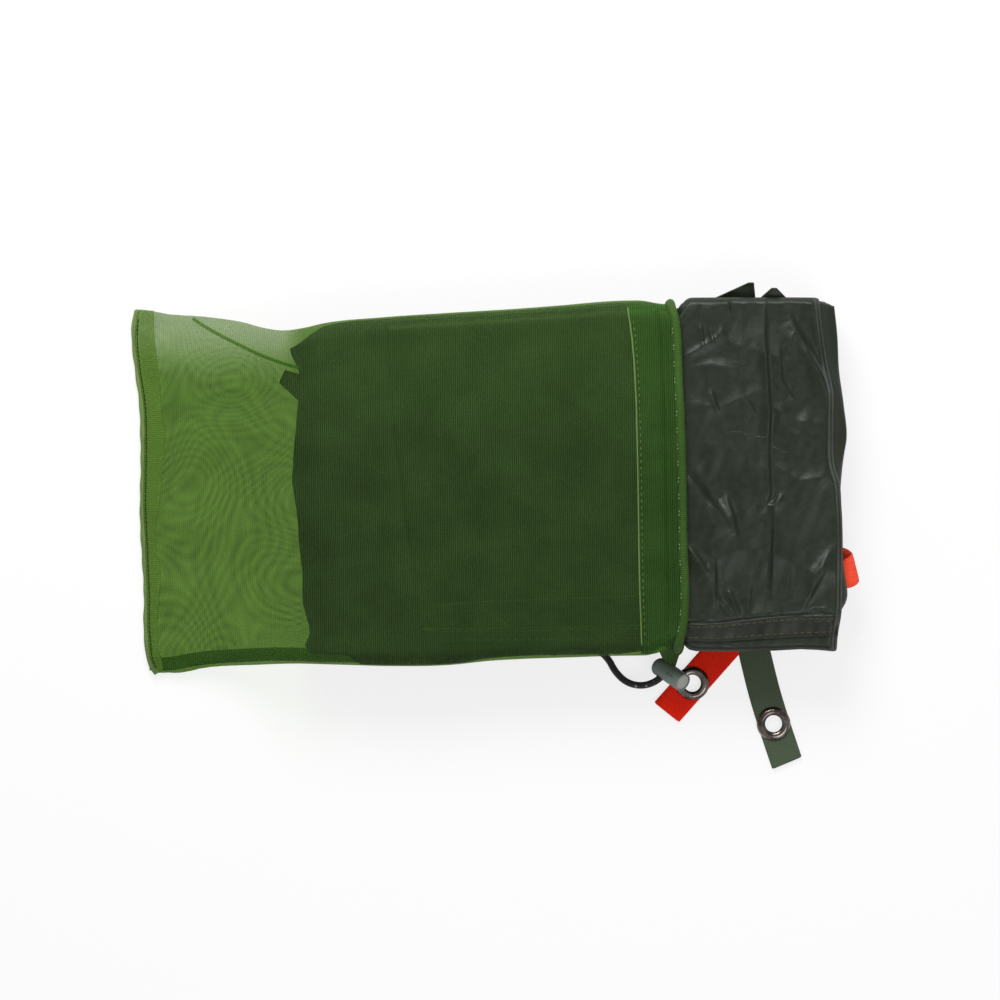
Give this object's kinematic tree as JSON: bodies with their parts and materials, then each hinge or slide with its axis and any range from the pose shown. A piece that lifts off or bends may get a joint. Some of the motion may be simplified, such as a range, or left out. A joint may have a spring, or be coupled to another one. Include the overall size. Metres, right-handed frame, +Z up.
{
  "type": "tarp shelter in a mesh stuff sack",
  "caption": "Folded tarp shelter lying half out of a see-through mesh drawstring sack, with webbing pull tabs, metal eyelets, a sewn loop and a push-button cord lock.",
  "frame": {"origin": "under the middle of the whole thing's box, on the surface the sack lies on", "axes": "+X out of the sack's mouth towards the free end of the folded tarp, +Y towards the sack's folded long edge, +Z up off the surface"},
  "size_m": [0.364, 0.243, 0.0433],
  "materials": {
    "green_mesh": "matte see-through net",
    "green_mesh_double": "matte net, two layers",
    "green_tape": "matte rolled edge",
    "black_cord": "matte braid with small pale flecks",
    "lock_body": "matte",
    "lock_button": "matte",
    "spring_steel": "bright",
    "tarp_cloth": "coated, slight sheen",
    "tarp_hem": "coated, slight sheen, stitched",
    "red_webbing": "matte woven webbing",
    "olive_webbing": "matte woven webbing",
    "gunmetal": "dark semi-gloss plating",
    "loop_webbing": "matte woven webbing",
    "dark_webbing": "matte woven webbing"
  },
  "bodies": {
    "sack": {"sack_mesh_panel": "green_mesh", "sack_mouth_facing": "green_mesh_double", "sack_cord_channel": "green_tape", "sack_end_seam": "green_mesh_double", "sack_side_seam": "green_mesh_double", "drawcord_in_channel": "black_cord", "drawcord_tail": "black_cord", "drawcord_knot": "black_cord"},
    "tarp": {"tarp_folded_stack": "tarp_cloth", "tarp_top_fold": "tarp_cloth", "tarp_edge_hem": "tarp_hem", "inner_tab_webbing": "dark_webbing"},
    "cord_lock": {"cord_lock_barrel": "lock_body", "cord_lock_spring": "spring_steel"},
    "button": {"cord_lock_button": "lock_button"},
    "red_tab": {"red_tab_webbing": "red_webbing", "red_tab_eyelet": "gunmetal", "red_tab_washer": "gunmetal"},
    "olive_tab": {"olive_tab_webbing": "olive_webbing", "olive_tab_eyelet": "gunmetal", "olive_tab_washer": "gunmetal"},
    "red_loop": {"red_loop_webbing": "loop_webbing"}
  },
  "joints": [
    {"name": "tarp_slide", "type": "slide", "parent": "sack", "child": "tarp", "axis": [1, 0, 0], "range_m": [0, 0.2]},
    {"name": "cord_lock_travel", "type": "hinge", "parent": "sack", "child": "cord_lock", "pos_m": [0.0738, -0.0656, 0.00496], "axis": [-0.2559, 0.0931, 0.9622], "range_deg": [-35, 0]},
    {"name": "button_press", "type": "slide", "parent": "cord_lock", "child": "button", "axis": [-0.6429, 0.4368, -0.6292], "range_m": [0, 0.002], "stiffness_N_per_m": 100, "springref_m": -0.002, "deforming": ["cord_lock_spring"]},
    {"name": "red_tab_lift", "type": "hinge", "parent": "tarp", "child": "red_tab", "pos_m": [0.115, -0.0562, 0.0015], "axis": [-1, 0, 0], "range_deg": [0, 12]},
    {"name": "olive_tab_lift", "type": "hinge", "parent": "tarp", "child": "olive_tab", "pos_m": [0.13, -0.0562, 0.0015], "axis": [-1, 0, 0], "range_deg": [0, 35]},
    {"name": "red_loop_flex", "type": "hinge", "parent": "tarp", "child": "red_loop", "pos_m": [0.168, -0.0218, 0.0225], "axis": [0, 1, 0], "range_deg": [-20, 20], "stiffness_Nm_per_rad": 0.003}
  ]
}
